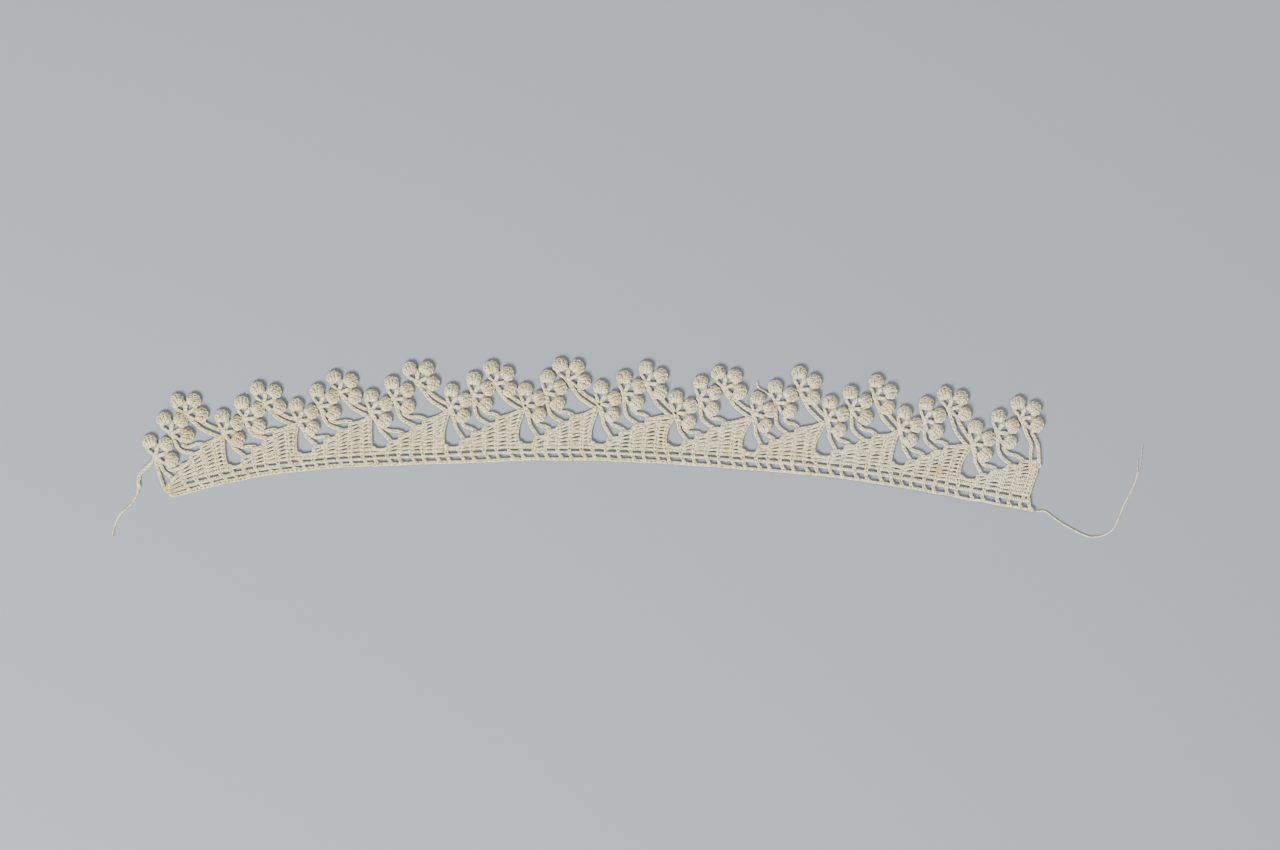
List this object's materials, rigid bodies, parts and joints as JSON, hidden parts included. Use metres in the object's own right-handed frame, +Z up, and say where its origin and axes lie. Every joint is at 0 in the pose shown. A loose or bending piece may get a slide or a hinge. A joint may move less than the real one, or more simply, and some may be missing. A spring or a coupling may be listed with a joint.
{
  "type": "crochet lace edging",
  "caption": "Flat crocheted cotton lace edging: leafy shamrock sprays on chain stems above a stepped solid ground with a straight heading and loose thread ends.",
  "frame": {"origin": "middle of the box round the lace without its thread tails, on the surface that it lies on", "axes": "+X along the lace to the right with the heading towards the viewer, +Y from the heading to the shamrocks, +Z up out of the lace's face"},
  "size_m": [0.3098, 0.0542, 0.0025],
  "materials": {
    "cotton_lace": "matt unbleached cotton thread, crocheted",
    "cotton_thread": "matt unbleached cotton thread"
  },
  "bodies": {
    "root": {"lace": "cotton_lace", "tail_right": "cotton_thread", "tail_left": "cotton_thread"}
  },
  "joints": []
}
